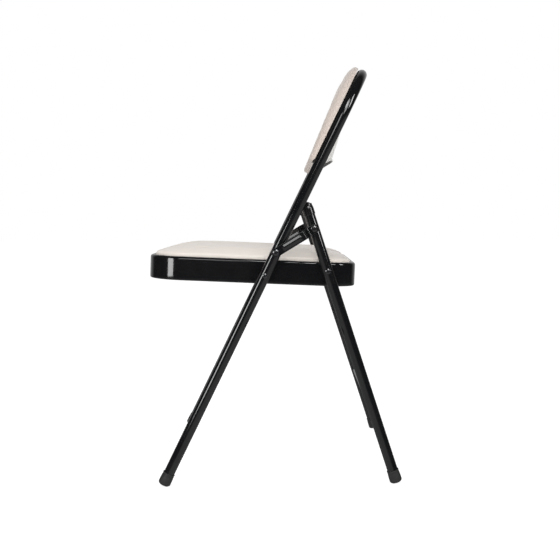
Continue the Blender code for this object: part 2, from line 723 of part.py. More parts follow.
def make_link_studs():
    """The rear leg's part of the upper link rivet, cut flush with the leg."""
    for side_name, side in SIDES:
        tail = LEG_INNER_X - GAP
        profile = [(0.0, LEG_OUTER_X - GAP), (SHANK_R, LEG_OUTER_X - GAP), (SHANK_R, tail),
                   (TAIL_R, tail), (TAIL_R, tail - TAIL_THICK), (0.0, tail - TAIL_THICK)]
        turned("link_stud_" + side_name, profile, DARK_STEEL, REAR_AXES, outward(side, 0.0, LINK_END_S))


# ---------------------------------------------------------------- links


def smooth_step(value, low, high):
    share = min(max((value - low) / (high - low), 0.0), 1.0)
    return share * share * (3.0 - 2.0 * share)


def link_stations():
    """Distances along a link where its sheet is bent or its outline turns."""
    ends = [LINK_R * math.sin(math.radians(angle)) for angle in (0.0, 30.0, 55.0, 77.0)]
    joggle = [LINK_LENGTH - 0.0205 + 0.0110 * step / 4 for step in range(5)]
    rib = [0.0130, 0.0170, LINK_LENGTH - 0.0290, LINK_LENGTH - 0.0250]
    return [-end for end in reversed(ends)] + rib + joggle + [LINK_LENGTH + end for end in ends]


def link_half_width(z):
    beyond = max(-z, z - LINK_LENGTH, 0.0)
    return math.sqrt(LINK_R ** 2 - beyond ** 2)


def link_offset(y, z):
    """Inner face of the strap: on the tube at one end, on the rear leg at the other, ribbed between."""
    step = smooth_step(z, LINK_LENGTH - 0.0205, LINK_LENGTH - 0.0095)
    rib = smooth_step(z, 0.0130, 0.0170) * (1.0 - smooth_step(z, LINK_LENGTH - 0.0290, LINK_LENGTH - 0.0250))
    crest = 1.0 - smooth_step(abs(y), 0.0018, 0.0042)
    return LINK_ON_TUBE_X + (LINK_ON_LEG_X - LINK_ON_TUBE_X) * step + LINK_RIB * rib * crest


def make_link(side_name, side):
    stations = link_stations()
    across = (-1.0, -0.52, -0.22, 0.0, 0.22, 0.52, 1.0)
    bm = bmesh.new()
    bmesh.ops.create_grid(bm, x_segments=len(across) - 1, y_segments=len(stations) - 1, size=1.0)
    columns = sorted({round(vert.co.x, 4) for vert in bm.verts})
    rows = sorted({round(vert.co.y, 4) for vert in bm.verts})
    for vert in bm.verts:
        z = stations[rows.index(round(vert.co.y, 4))]
        y = across[columns.index(round(vert.co.x, 4))] * link_half_width(z)
        vert.co = (side * link_offset(y, z), y, z)
    link = add_mesh_object("link_" + side_name, bm, BLACK_PAINT, LINK_AXES[side_name])
    if link.data.polygons[0].normal.x * side < 0.0:
        link.data.flip_normals()
    solidify(link, LINK_SHEET, offset=1.0)
    for end_name, z in (("low", 0.0), ("high", LINK_LENGTH)):
        hole = hole_cutter("link_hole_%s_%s" % (end_name, side_name), HOLE_R, (side * 0.19, 0.0, z),
                           (side * 0.25, 0.0, z), LINK_AXES[side_name])
        boolean(link, hole)
    base = LINK_ON_LEG_X + LINK_SHEET + GAP
    profile = [(0.0, base + 0.0024), (0.0042, base + 0.0018), (0.0058, base + 0.0008), (0.0058, base),
               (SHANK_R, base), (SHANK_R, LINK_ON_LEG_X + GAP), (0.0, LINK_ON_LEG_X + GAP)]
    turned("link_head_" + side_name, profile, DARK_STEEL, LINK_AXES[side_name],
           outward(side, 0.0, LINK_LENGTH))


# ---------------------------------------------------------------- assembly

FLOOR_CUTTER = make_floor_cutter()

make_front_tube()
make_brace("front_cross_brace", FRONT_X, FRONT_BRACE_ALONG, FRONT_AXES, "front_brace")
for foot_side, foot_sign in SIDES:
    make_foot("front_foot_" + foot_side, foot_sign * FRONT_X, 0.0, FRONT_LEAN, FRONT_AXES)
make_seat_spacers()
make_frame_rivets()

BACK_PANEL = make_back_panel()
BACK_COVER = make_back_cover()
make_back_pad()
make_back_screws(BACK_PANEL, BACK_COVER)

SEAT_PAN = make_seat_pan()
SEAT_BOARD = make_seat_board()
make_seat_pad()
make_seat_brackets()
make_seat_stiffener()
make_seat_screws(SEAT_PAN, SEAT_BOARD)

make_rear_legs()
make_brace("rear_cross_brace", REAR_X, -REAR_BRACE_BELOW, REAR_AXES, "rear_brace")
make_rear_leg_rivets()
make_link_studs()

for link_side, link_sign in SIDES:
    make_link(link_side, link_sign)
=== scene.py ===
import json
import math

import bmesh
import bpy
from mathutils import Matrix, Vector, noise


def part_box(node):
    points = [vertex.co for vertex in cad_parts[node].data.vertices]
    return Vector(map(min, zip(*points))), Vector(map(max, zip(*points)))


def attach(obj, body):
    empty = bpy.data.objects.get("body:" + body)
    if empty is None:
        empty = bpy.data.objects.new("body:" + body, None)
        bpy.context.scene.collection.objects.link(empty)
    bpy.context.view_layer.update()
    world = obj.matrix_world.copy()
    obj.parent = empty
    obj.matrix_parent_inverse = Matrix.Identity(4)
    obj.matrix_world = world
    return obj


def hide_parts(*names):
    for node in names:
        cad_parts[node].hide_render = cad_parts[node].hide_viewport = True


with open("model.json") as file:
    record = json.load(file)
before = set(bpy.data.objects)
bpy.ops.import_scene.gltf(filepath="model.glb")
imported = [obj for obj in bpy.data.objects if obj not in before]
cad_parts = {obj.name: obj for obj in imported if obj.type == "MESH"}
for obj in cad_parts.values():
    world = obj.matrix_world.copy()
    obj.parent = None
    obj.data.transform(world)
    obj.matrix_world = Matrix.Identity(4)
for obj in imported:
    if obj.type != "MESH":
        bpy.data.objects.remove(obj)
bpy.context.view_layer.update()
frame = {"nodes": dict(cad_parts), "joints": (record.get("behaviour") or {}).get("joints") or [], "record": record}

# A padded steel folding chair.  Metres, +Z up; the chair faces -Y and +X is the sitter's left.  The packed
# model gives every place and size: each group of pieces is built in axes of its own, whose Z runs along
# the tube, across the seat or along the link, and the pieces' extents are read in those axes.

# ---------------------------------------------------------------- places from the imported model

JOINTS = {joint["name"]: joint for joint in frame["joints"]}
SEAT_PIVOT = Vector(JOINTS["seat_fold"]["pos_m"])
LINK_PIVOT = Vector(JOINTS["link_left_turn"]["pos_m"])
REAR_PIVOT = Vector(JOINTS["rear_leg_fold"]["pos_m"])
SIDES = (("left", 1.0), ("right", -1.0))


def middle(node):
    """Centre of a CAD node's box, on the chair's plane of symmetry."""
    low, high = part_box(node)
    return Vector((0.0, (low.y + high.y) / 2, (low.z + high.z) / 2))


def lean(low, high):
    """Angle from the vertical, towards the back, of the line from low to high."""
    return math.atan2(high.y - low.y, high.z - low.z)


def axes_at(point, angle):
    """Axes at a point, their Z leaning back by an angle."""
    return Matrix.Translation(point) @ Matrix.Rotation(-angle, 4, "X")


LINK_END = middle("link_stud_left")
FRONT_LEAN = lean(SEAT_PIVOT, LINK_PIVOT)
SEAT_TILT = math.radians(2.25)
FRONT_FOOT = Vector((0.0, SEAT_PIVOT.y - math.tan(FRONT_LEAN) * SEAT_PIVOT.z, 0.0))
FRONT = axes_at(FRONT_FOOT, FRONT_LEAN)
SEAT = axes_at(SEAT_PIVOT, SEAT_TILT)
REAR = axes_at(REAR_PIVOT, lean(REAR_PIVOT, LINK_END))
LINK = axes_at(LINK_PIVOT, lean(LINK_PIVOT, LINK_END))
LINK_LENGTH = (LINK_END - LINK_PIVOT).length


def span(node, axes):
    """Lowest and highest corner of a CAD node in the given axes."""
    turn = axes.inverted()
    points = [turn @ vert.co for vert in frame["nodes"][node].data.vertices]
    low = Vector([min(point[k] for point in points) for k in range(3)])
    high = Vector([max(point[k] for point in points) for k in range(3)])
    return low, high


# ---------------------------------------------------------------- mesh helpers


def add_piece(name, bm, axes, material, body, replaced=(), smooth=40.0):
    """Make an object of a mesh built in the given axes, and let it ride on a body."""
    bmesh.ops.remove_doubles(bm, verts=bm.verts[:], dist=0.000002)
    bmesh.ops.recalc_face_normals(bm, faces=bm.faces[:])
    mesh = bpy.data.meshes.new(name)
    bm.to_mesh(mesh)
    bm.free()
    mesh.shade_smooth()
    mesh.set_sharp_from_angle(angle=math.radians(smooth))
    obj = bpy.data.objects.new(name, mesh)
    obj.matrix_world = axes
    bpy.context.scene.collection.objects.link(obj)
    mesh.materials.append(material)
    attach(obj, body)
    if replaced:
        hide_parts(*replaced)
    return obj


def loft(rings, cap_first=False, cap_last=False, closed=False):
    """Skin through rings of points; a ring of one point is a pole, closed joins last ring to first."""
    bm = bmesh.new()
    made = [[bm.verts.new(point) for point in ring] for ring in rings]
    pairs = list(zip(made, made[1:]))
    if closed:
        pairs.append((made[-1], made[0]))
    for lower, upper in pairs:
        for i in range(max(len(lower), len(upper))):
            corners = (lower[i % len(lower)], lower[(i + 1) % len(lower)],
                       upper[(i + 1) % len(upper)], upper[i % len(upper)])
            corners = list(dict.fromkeys(corners))
            if len(corners) > 2:
                bm.faces.new(corners)
    if cap_first:
        bm.faces.new(made[0])
    if cap_last:
        bm.faces.new(made[-1])
    return bm


def arc(center_x, center_y, radius, start, end, steps):
    """Points along a circular arc, angles in degrees."""
    points = []
    for step in range(steps + 1):
        angle = math.radians(start + (end - start) * step / steps)
        points.append((center_x + radius * math.cos(angle), center_y + radius * math.sin(angle)))
    return points


def ring_about_z(radius, height, sides):
    """Circle about Z, or one point when the radius is 0."""
    if radius <= 0.0:
        return [Vector((0.0, 0.0, height))]
    turns = [2 * math.pi * i / sides for i in range(sides)]
    return [Vector((radius * math.cos(turn), radius * math.sin(turn), height)) for turn in turns]


def turned(profile, sides=48, closed=False):
    """Solid of revolution about Z from (radius, height) points."""
    return loft([ring_about_z(radius, height, sides) for radius, height in profile], closed=closed)


def pipe(path, radius, bore, sides=48):
    """Hollow tube along (x, z) points in the XZ plane."""
    rings = []
    for reach in (radius, bore):
        walls = []
        for i, (x, z) in enumerate(path):
            before = path[max(i - 1, 0)]
            after = path[min(i + 1, len(path) - 1)]
            along = Vector((after[0] - before[0], after[1] - before[1])).normalized()
            across = Vector((along.y, 0.0, -along.x))
            ring = []
            for k in range(sides):
                turn = 2 * math.pi * k / sides
                ring.append(Vector((x, 0.0, z)) + reach * (math.cos(turn) * across
                                                           + math.sin(turn) * Vector((0.0, 1.0, 0.0))))
            walls.append(ring)
        rings += walls if reach == radius else walls[::-1]
    return loft(rings, closed=True)


def smooth_step(value, low, high):
    share = min(max((value - low) / (high - low), 0.0), 1.0)
    return share * share * (3.0 - 2.0 * share)


def outward(axes, side, z=0.0):
    """Axes whose Z points out of the chair on one side, at height z of the given axes."""
    return axes @ Matrix.Translation((0.0, 0.0, z)) @ Matrix.Rotation(side * math.pi / 2, 4, "Y")


# ---------------------------------------------------------------- materials


class Nodes:
    """A small writer of node trees: every method adds a node and returns its output."""

    def __init__(self, name):
        self.material = bpy.data.materials.new(name)
        self.material.use_nodes = True
        self.tree = self.material.node_tree
        self.shader = self.tree.nodes["Principled BSDF"]
        self.place = self.add("ShaderNodeTexCoord").outputs["Object"]

    def add(self, kind, **settings):
        node = self.tree.nodes.new(kind)
        for key, value in settings.items():
            setattr(node, key, value)
        return node

    def put(self, node, name, value):
        """Set or link an input."""
        if isinstance(value, bpy.types.NodeSocket):
            self.tree.links.new(value, node.inputs[name])
        else:
            node.inputs[name].default_value = value

    def math(self, operation, first, second=0.0, clamp=False):
        node = self.add("ShaderNodeMath", operation=operation, use_clamp=clamp)
        self.put(node, 0, first)
        self.put(node, 1, second)
        return node.outputs[0]

    def noise(self, scale, detail=3.0, roughness=0.5, place=None):
        node = self.add("ShaderNodeTexNoise")
        self.put(node, "Vector", place or self.place)
        self.put(node, "Scale", scale)
        self.put(node, "Detail", detail)
        self.put(node, "Roughness", roughness)
        return node.outputs["Fac"]

    def stretched(self, x, y, z):
        """The place, scaled along its axes, for grain."""
        node = self.add("ShaderNodeMapping")
        self.put(node, "Vector", self.place)
        self.put(node, "Scale", (x, y, z))
        return node.outputs["Vector"]

    def spread(self, value, low, high, to_low, to_high):
        node = self.add("ShaderNodeMapRange")
        self.put(node, "Value", value)
        for name, number in (("From Min", low), ("From Max", high),
                             ("To Min", to_low), ("To Max", to_high)):
            self.put(node, name, number)
        return node.outputs["Result"]

    def mix(self, share, first, second):
        node = self.add("ShaderNodeMix", data_type="RGBA")
        self.put(node, 0, share)
        self.put(node, 6, (*first, 1.0) if isinstance(first, tuple) else first)
        self.put(node, 7, (*second, 1.0) if isinstance(second, tuple) else second)
        return node.outputs[2]

    def bump(self, height, strength, distance, below=None):
        node = self.add("ShaderNodeBump")
        self.put(node, "Height", height)
        self.put(node, "Strength", strength)
        self.put(node, "Distance", distance)
        if below is not None:
            self.put(node, "Normal", below)
        return node.outputs["Normal"]

    def finish(self, color, roughness, normal, **fixed):
        self.put(self.shader, "Base Color", color)
        self.put(self.shader, "Roughness", roughness)
        self.put(self.shader, "Normal", normal)
        for name, value in fixed.items():
            self.put(self.shader, name.replace("_", " "), value)
        return self.material


def paint_material():
    """Gloss black powder coat: a faint orange peel, soft dust and small rubbed spots."""
    n = Nodes("gloss_black_paint")
    dust = n.spread(n.noise(14.0, 4.0, 0.6), 0.45, 0.75, 0.0, 1.0)
    specks = n.spread(n.noise(900.0, 2.0), 0.68, 0.74, 0.0, 1.0)
    color = n.mix(dust, (0.0052, 0.0054, 0.0060), (0.0080, 0.0080, 0.0086))
    color = n.mix(n.math("MULTIPLY", specks, 0.25), color, (0.03, 0.03, 0.03))
    roughness = n.spread(dust, 0.0, 1.0, 0.085, 0.120)
    peel = n.bump(n.noise(260.0, 2.0), 0.05, 0.00008)
    return n.finish(color, roughness, peel, Metallic=0.0, Specular_IOR_Level=0.6)


def plastic_material():
    """Moulded black plastic, fine matt grain under a shine."""
    n = Nodes("gloss_black_plastic")
    color = n.mix(n.noise(60.0), (0.006, 0.006, 0.0065), (0.010, 0.010, 0.011))
    roughness = n.spread(n.noise(300.0), 0.3, 0.7, 0.11, 0.17)
    return n.finish(color, roughness, n.bump(n.noise(900.0), 0.06, 0.00006))


def rubber_material():
    """Matt black rubber with scuffs where it stands."""
    n = Nodes("matt_black_rubber")
    scuffs = n.spread(n.noise(150.0, 5.0, 0.7), 0.55, 0.72, 0.0, 1.0)
    color = n.mix(scuffs, (0.0125, 0.0125, 0.0125), (0.026, 0.026, 0.025))
    roughness = n.spread(n.noise(400.0), 0.3, 0.7, 0.50, 0.68)
    return n.finish(color, roughness, n.bump(n.noise(1200.0, 4.0), 0.35, 0.00015))


def rivet_material():
    """Blackened steel, a little brighter where the setting tool rubbed it."""
    n = Nodes("black_steel_rivet")
    rubbed = n.spread(n.noise(500.0, 3.0), 0.55, 0.70, 0.0, 1.0)
    color = n.mix(rubbed, (0.020, 0.020, 0.022), (0.055, 0.055, 0.058))
    roughness = n.spread(n.noise(700.0), 0.3, 0.7, 0.08, 0.14)
    return n.finish(color, roughness, n.bump(n.noise(700.0), 0.06, 0.00005), Metallic=0.6, Coat_Weight=0.8)


def zinc_material():
    """Zinc-plated steel with a faint spangle."""
    n = Nodes("zinc_steel")
    spangle = n.add("ShaderNodeTexVoronoi")
    n.put(spangle, "Vector", n.place)
    n.put(spangle, "Scale", 260.0)
    color = n.mix(spangle.outputs["Distance"], (0.42, 0.42, 0.44), (0.60, 0.60, 0.61))
    roughness = n.spread(n.noise(220.0), 0.3, 0.7, 0.28, 0.42)
    return n.finish(color, roughness, n.bump(n.noise(1100.0), 0.10, 0.00005), Metallic=1.0)


def plywood_material():
    """Raw plywood: long grain and darker late wood."""
    n = Nodes("plywood")
    grain = n.noise(1.0, 6.0, 0.6, n.stretched(180.0, 6.0, 180.0))
    rings = n.noise(1.0, 2.0, 0.5, n.stretched(30.0, 1.5, 30.0))
    color = n.mix(grain, (0.36, 0.22, 0.11), (0.62, 0.44, 0.27))
    color = n.mix(n.spread(rings, 0.45, 0.6, 0.0, 0.6), color, (0.30, 0.18, 0.09))
    return n.finish(color, n.spread(grain, 0.3, 0.7, 0.6, 0.8), n.bump(grain, 0.3, 0.0003))


WEAVE_PITCH = 0.0009            # of the pads' cloth


def weave(n, pitch):
    """Height of a plain weave: raised crossings in the plane that faces each side best."""
    turns = n.add("ShaderNodeVectorMath", operation="SCALE")
    n.put(turns, 0, n.place)
    n.put(turns, "Scale", math.pi / pitch)
    parts = n.add("ShaderNodeSeparateXYZ")
    n.put(parts, 0, turns.outputs[0])
    waves = [n.math("SINE", parts.outputs[k]) for k in range(3)]
    facing = n.add("ShaderNodeSeparateXYZ")
    n.put(facing, 0, n.add("ShaderNodeTexCoord").outputs["Normal"])
    height = None
    for k in range(3):
        crossings = n.math("MULTIPLY", waves[(k + 1) % 3], waves[(k + 2) % 3])
        share = n.math("POWER", n.math("ABSOLUTE", facing.outputs[k]), 3.0)
        part = n.math("MULTIPLY", crossings, share)
        height = part if height is None else n.math("ADD", height, part)
    return height


def fabric_material(name, pale, deep, pitch=WEAVE_PITCH):
    """Woven cover: threads, slubs, slow changes of tone, painted shade in the gaps between the threads and a soft
    sheen.
    """
    n = Nodes(name)
    threads = weave(n, pitch)
    tone = n.spread(n.noise(9.0, 4.0, 0.6), 0.3, 0.7, 0.0, 1.0)
    slub = n.spread(n.noise(1.0, 2.0, 0.5, n.stretched(60.0, 900.0, 300.0)), 0.35, 0.65, 0.0, 1.0)
    color = n.mix(n.math("ADD", n.math("MULTIPLY", tone, 0.65), n.math("MULTIPLY", slub, 0.35)), deep, pale)
    # Painted shade: the colour turns darker in the gaps between the threads, where the weave is low.
    gap_shade = n.spread(threads, -0.9, 0.2, 0.05, 0.0)
    color = n.mix(gap_shade, color, tuple(0.6 * part for part in deep))
    fuzz = n.bump(n.noise(1600.0, 3.0), 0.06, 0.00010)
    normal = n.bump(threads, 0.15, 0.00016, fuzz)
    return n.finish(color, n.spread(tone, 0.0, 1.0, 0.78, 0.90), normal, Sheen_Weight=0.30,
                    Sheen_Roughness=0.45)


PAINT = paint_material()
PLASTIC = plastic_material()
RUBBER = rubber_material()
RIVET = rivet_material()
ZINC = zinc_material()
PLYWOOD = plywood_material()
SEAT_FABRIC = fabric_material("seat_fabric", (0.745, 0.692, 0.640), (0.690, 0.632, 0.573))
# Painted shade: the back pad's cloth is the seat's cloth painted darker, standing in for the lesser light that
# falls on the backrest.
SHADED_BACK_FABRIC = fabric_material("back_fabric", (0.500, 0.435, 0.390), (0.465, 0.398, 0.355))
# Painted shade: a near-black cloth for the rear cover's front face, standing in for the shade under the backrest's
# lower edge.
PAINTED_SHADE_CLOTH = fabric_material("painted_shade_cloth", (0.030, 0.030, 0.028), (0.018, 0.018, 0.017))
COVER_FABRIC = fabric_material("cover_fabric", (0.68, 0.67, 0.64), (0.60, 0.585, 0.56), pitch=0.0007)

CAD_MATERIALS = {"black_paint": PAINT, "dark_steel": RIVET, "zinc_steel": ZINC, "plywood": PLYWOOD}


def paint_cad_nodes():
    """Give the CAD nodes that stay in view their materials, by slot."""
    for part in frame["record"]["subparts"]:
        material = CAD_MATERIALS.get(part["material_slot"])
        if material:
            mesh = frame["nodes"][part["node"]].data
            mesh.materials.clear()
            mesh.materials.append(material)


# ---------------------------------------------------------------- tubes, welds, feet and caps

TUBE_WALL = 0.0012
BEND_R = 0.100                  # top bends of the inverted U
FOOT_LENGTH = 0.0235
FOOT_ROUND = 0.0045
CAP_FLUTES = 14
CAP_FLUTE_DEPTH = 0.00045
CAP_DOME = 0.0130


def make_frame_tube():
    low, high = span("front_frame_tube", FRONT)
    radius = (high.y - low.y) / 2
    leg_x = high.x - radius
    top = high.z - radius
    straight = top - BEND_R
    path = [(leg_x, low.z + (straight - low.z) * i / 12) for i in range(12)]
    path += arc(leg_x - BEND_R, straight, BEND_R, 0.0, 90.0, 28)
    path += [(-x, z) for x, z in reversed(path)]
    add_piece("frame_tube", pipe(path, radius, radius - TUBE_WALL), FRONT, PAINT, "frame",
              ["front_frame_tube"])


def make_rear_tubes():
    for side_name, _ in SIDES:
        node = "rear_leg_" + side_name
        low, high = span(node, REAR)
        radius = (high.y - low.y) / 2
        x = (low.x + high.x) / 2
        path = [(x, low.z + (high.z - low.z) * i / 12) for i in range(13)]
        add_piece("leg_tube_" + side_name, pipe(path, radius, radius - TUBE_WALL), REAR, PAINT,
                  "rear_legs", [node])


WELD_BEAD_R = 0.0014
WELD_STEPS = 96
WELD_RIPPLES = 16


def make_weld(name, brace, axes, side, tube_r, tube_x, body):
    """Bead of weld around the end of a brace, rippled, lying in the corner between brace and leg."""
    low, high = span(brace, axes)
    brace_r = (high.y - low.y) / 2
    z = (low.z + high.z) / 2
    rings = []
    for i in range(WELD_STEPS):
        turn = 2 * math.pi * i / WELD_STEPS
        y, up = brace_r * math.cos(turn), brace_r * math.sin(turn)
        saddle = tube_x - math.sqrt(tube_r ** 2 - y ** 2)
        center = Vector((side * saddle, y, z + up))
        out = Vector((0.0, math.cos(turn), math.sin(turn)))
        inward = Vector((-side, 0.0, 0.0))
        ripple = 0.12 * math.sin(WELD_RIPPLES * turn) + 0.10 * noise.noise(center * 300.0)
        size = WELD_BEAD_R * (1.0 + ripple)
        rings.append([center + size * (math.cos(a) * out + math.sin(a) * inward)
                      for a in (2 * math.pi * k / 10 for k in range(10))])
    add_piece(name, loft(rings, closed=True), axes, PAINT, body)


def make_welds():
    tube_low, tube_high = span("front_frame_tube", FRONT)
    tube_r = (tube_high.y - tube_low.y) / 2
    leg_low, leg_high = span("rear_leg_left", REAR)
    for side_name, side in SIDES:
        make_weld("front_weld_" + side_name, "front_cross_brace", FRONT, side, tube_r,
                  tube_high.x - tube_r, "frame")
        make_weld("rear_weld_" + side_name, "rear_cross_brace", REAR, side, tube_r,
                  (leg_low.x + leg_high.x) / 2, "rear_legs")


def make_foot(name, node, tube_node, axes, body):
    """Rubber cup: beaded mouth, slightly fuller low down, round sole worn level by the floor."""
    low, high = span(node, axes)
    tube_low, tube_high = span(tube_node, axes)
    center_x = (low.x + high.x) / 2
    radius = (high.x - low.x) / 2
    bore = (tube_high.y - tube_low.y) / 2 + 0.0002
    mouth = high.z
    sole = mouth - FOOT_LENGTH
    inside = tube_low.z - 0.0002
    profile = [(0.0, inside), (bore, inside), (bore, mouth - 0.0003), (bore + 0.0003, mouth)]
    profile += arc(radius - 0.0011, mouth - 0.0009, 0.0009, 80.0, -30.0, 6)
    profile += [(radius - 0.0007, mouth - 0.0024), (radius - 0.0004, mouth - 0.0060)]
    profile += [(radius - 0.0001, mouth - 0.0100), (radius, mouth - 0.0140)]
    profile += arc(radius - FOOT_ROUND, sole + FOOT_ROUND, FOOT_ROUND, 0.0, -90.0, 12)
    profile += [(0.5 * (radius - FOOT_ROUND), sole), (0.0, sole)]
    bm = turned(profile, sides=56)
    bmesh.ops.translate(bm, vec=(center_x, 0.0, 0.0), verts=bm.verts[:])
    to_local = axes.inverted()
    for vert in bm.verts:
        world = axes @ vert.co
        if world.z < 0.0:
            world.z = 0.0
            vert.co = to_local @ world
    add_piece(name, bm, axes, RUBBER, body, [node])



def make_feet():
    for side_name, _ in SIDES:
        make_foot("front_rubber_" + side_name, "front_foot_" + side_name, "front_frame_tube", FRONT,
                  "frame")
        make_foot("rear_rubber_" + side_name, "rear_foot_" + side_name, "rear_leg_" + side_name, REAR,
                  "rear_legs")


def make_caps():
    """Fluted plastic cups: the flutes start on the dome and fade out down the skirt."""
    sides = CAP_FLUTES * 12
    turns = [2 * math.pi * i / sides for i in range(sides)]
    for side_name, _ in SIDES:
        node = "rear_leg_cap_" + side_name
        low, high = span(node, REAR)
        leg_low, leg_high = span("rear_leg_" + side_name, REAR)
        x = (low.x + high.x) / 2
        radius = (high.x - low.x) / 2
        bore = (leg_high.y - leg_low.y) / 2 + 0.0002
        length = high.z - low.z
        outer = [(radius * math.sin(angle), high.z - CAP_DOME * (1.0 - math.cos(angle)))
                 for angle in (math.radians(6.0 * step) for step in range(1, 16))]
        skirt = [low.z + (high.z - CAP_DOME - low.z) * share
                 for share in (0.85, 0.7, 0.5, 0.3, 0.15, 0.05)]
        outer += [(radius, z) for z in skirt] + [(radius - 0.0004, low.z)]
        rings = [[Vector((0.0, 0.0, high.z))]]
        for ring_r, z in outer:
            down = (high.z - z) / length
            depth = CAP_FLUTE_DEPTH * smooth_step(ring_r, 0.3 * radius, 0.75 * radius)
            depth *= 1.0 - smooth_step(down, 0.30, 0.52)
            fluted = [(turn, ring_r - depth * (0.5 - 0.5 * math.cos(CAP_FLUTES * turn))) for turn in turns]
            rings.append([Vector((reach * math.cos(turn), reach * math.sin(turn), z))
                          for turn, reach in fluted])
        rings += [ring_about_z(bore, low.z, sides), ring_about_z(bore, leg_high.z + 0.0002, sides)]
        rings.append([Vector((0.0, 0.0, leg_high.z + 0.0002))])
        bm = loft(rings)
        bmesh.ops.translate(bm, vec=(x, 0.0, 0.0), verts=bm.verts[:])
        add_piece("ribbed_cap_" + side_name, bm, REAR, PLASTIC, "rear_legs", [node])


# ---------------------------------------------------------------- rivets

SHANK_R = 0.0030
TAIL_R = 0.0045
TAIL_THICK = 0.0015
HEAD_REACH = 0.0035             # more than the height of any rivet's head


def rivet_head(radius, base, top):
    """Domed head with a rolled rim and a shallow dimple, from its underside up to the middle."""
    height = top - base
    rim = 0.32 * height
    points = [(radius - 0.0003, base)]
    points += arc(radius - rim, base + rim, rim, -40.0, 55.0, 6)
    points += [(0.80 * radius, base + 0.66 * height), (0.66 * radius, base + 0.83 * height)]
    points += [(0.50 * radius, base + 0.95 * height), (0.34 * radius, top)]
    points += [(0.22 * radius, base + 0.95 * height)]
    return points + [(0.0, base + 0.90 * height)]


def make_rivet(name, node, axes, side, z, body, tail):
    """Rivet across the chair: head outside, shank, and an upset tail where it has one."""
    out = outward(axes, side, z)
    low, high = span(node, out)
    turn = out.inverted()
    points = [turn @ vert.co for vert in frame["nodes"][node].data.vertices]
    upper = [point for point in points if point.z > high.z - HEAD_REACH]
    head_r = max(math.hypot(point.x, point.y) for point in upper)
    base = min(point.z for point in upper if math.hypot(point.x, point.y) > 0.95 * head_r)
    if tail:
        shank = low.z + TAIL_THICK
        profile = [(0.0, low.z), (TAIL_R - 0.0004, low.z), (TAIL_R, low.z + 0.0004),
                   (TAIL_R, shank - 0.0004), (TAIL_R - 0.0004, shank), (SHANK_R, shank)]
    else:
        profile = [(0.0, low.z), (SHANK_R, low.z)]
    profile += [(SHANK_R, base)] + rivet_head(head_r, base, high.z)
    add_piece(name, turned(profile, sides=40), out, RIVET, body, [node])


def make_rivets():
    link_z = (FRONT.inverted() @ LINK_PIVOT).z
    seat_z = (FRONT.inverted() @ SEAT_PIVOT).z
    for side_name, side in SIDES:
        make_rivet("seat_rivet_" + side_name, "seat_pivot_rivet_" + side_name, FRONT, side, seat_z,
                   "frame", True)
        make_rivet("link_rivet_" + side_name, "link_pivot_rivet_" + side_name, FRONT, side, link_z,
                   "frame", True)
        make_rivet("leg_rivet_" + side_name, "rear_leg_rivet_" + side_name, REAR, side, 0.0,
                   "rear_legs", True)
        make_rivet("link_top_rivet_" + side_name, "link_head_" + side_name, LINK, side, LINK_LENGTH,
                   "link_" + side_name, False)


# ---------------------------------------------------------------- links

LINK_R = 0.0080                 # half width and end radius
LINK_SHEET = 0.0018
LINK_RIB = 0.0012
RIB_ENDS = (0.0130, 0.0170, 0.0290, 0.0250)     # from the low end, then back from the high end
JOGGLE = (0.0205, 0.0095)       # back from the high end
LINK_END_ANGLES = (4, 12, 20, 30, 42, 55, 68, 80)
LINK_STEPS = 110


def link_outer(y, z, on_tube, on_leg):
    """Outer face of the strap: out over the tube, in over the rear leg, ribbed between."""
    step = smooth_step(z, LINK_LENGTH - JOGGLE[0], LINK_LENGTH - JOGGLE[1])
    rib = smooth_step(z, RIB_ENDS[0], RIB_ENDS[1])
    rib *= 1.0 - smooth_step(z, LINK_LENGTH - RIB_ENDS[2], LINK_LENGTH - RIB_ENDS[3])
    crest = 1.0 - smooth_step(abs(y), 0.0002, 0.0062)
    return on_tube + (on_leg - on_tube) * step + LINK_RIB * rib * crest


def link_section(z, half, on_tube, on_leg, side):
    """Ring around the strap at one station, with rounded edges."""
    radius = min(LINK_SHEET / 2, half) * 0.9
    flat = max(half - radius, 0.0)
    crossings = [flat * (i / 20 - 1.0) for i in range(41)]
    ring = [(y, 0.0) for y in crossings]
    ring += [(flat + radius * math.cos(a), -LINK_SHEET / 2 + (LINK_SHEET / 2) * math.sin(a))
             for a in (math.radians(60.0 - 30.0 * k) for k in range(5))]
    ring += [(y, -LINK_SHEET) for y in reversed(crossings)]
    ring += [(-flat - radius * math.cos(a), -LINK_SHEET / 2 + (LINK_SHEET / 2) * math.sin(a))
             for a in (math.radians(-60.0 + 30.0 * k) for k in range(5))]
    return [Vector((side * (link_outer(y, z, on_tube, on_leg) + depth), y, z)) for y, depth in ring]


def make_links():
    for side_name, side in SIDES:
        node = "link_" + side_name
        low, high = span(node, LINK)
        on_tube = max(abs(low.x), abs(high.x))
        on_leg = min(abs(low.x), abs(high.x)) + LINK_SHEET
        stations = [-LINK_R * math.cos(math.radians(a)) for a in LINK_END_ANGLES]
        stations += [LINK_LENGTH * i / LINK_STEPS for i in range(LINK_STEPS + 1)]
        stations += [LINK_LENGTH + LINK_R * math.cos(math.radians(a)) for a in reversed(LINK_END_ANGLES)]
        rings = []
        for z in stations:
            beyond = max(-z, z - LINK_LENGTH, 0.0)
            half = math.sqrt(LINK_R ** 2 - beyond ** 2)
            rings.append(link_section(z, half, on_tube, on_leg, side))
        add_piece("strap_" + side_name, loft(rings, cap_first=True, cap_last=True), LINK, PAINT,
                  node, [node], smooth=50.0)


# ---------------------------------------------------------------- seat pan

PAN_SHEET = 0.0012
PAN_SHOULDER = 0.0050
PAN_LOWER_ROUND = 0.0025
PAN_LIP = 0.0075                # width of the turned-in lower edge
PAN_CORNER_FRONT = 0.0650
PAN_CORNER_BACK = 0.0500
RIM_INSET = 0.0065
DECK_INSET = 0.0080
DECK_DEPTH = 0.0040
CORNER_STEPS = 18
PAN_LOW, PAN_HIGH = span("seat_pan", SEAT)


